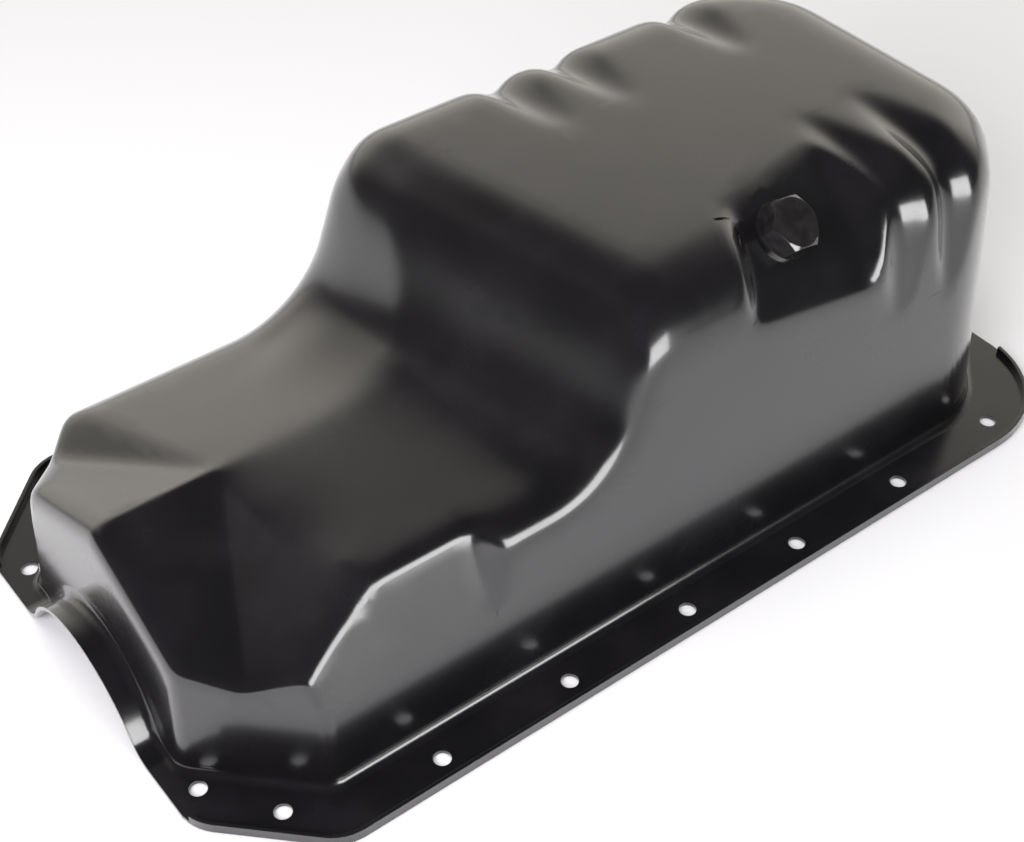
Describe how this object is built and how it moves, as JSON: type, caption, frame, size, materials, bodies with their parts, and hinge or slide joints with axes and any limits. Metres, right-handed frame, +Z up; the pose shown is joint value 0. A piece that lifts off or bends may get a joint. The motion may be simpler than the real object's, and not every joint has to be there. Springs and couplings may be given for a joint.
{
  "type": "engine oil pan",
  "caption": "Pressed steel engine oil pan with a deep sump, a shallow end, half-round seal seats, a bolt flange and a slanted drain plug, shown resting on its gasket face.",
  "frame": {"origin": "Centre of the pan's box in X and Y, on the gasket face of the flange, which is the lowest plane as the pan rests in the picture.", "axes": "X runs along the pan from the shallow front end at -X to the deep sump at +X, Y across it with the drain plug on the -Y side, Z up from the gasket face to the sump's bottom. In a car the pan hangs the other way up."},
  "size_m": [0.43, 0.242, 0.1406],
  "materials": {
    "pan_enamel": "gloss black enamel over pressed steel",
    "boss_steel": "gloss black enamel over steel, thread bare",
    "washer_enamel": "gloss black enamel over the sealing washer",
    "plug_enamel": "gloss black enamel over the steel plug"
  },
  "bodies": {
    "root": {"pan": "pan_enamel", "drain_boss": "boss_steel", "drain_washer": "washer_enamel", "drain_plug": "plug_enamel"}
  },
  "joints": []
}
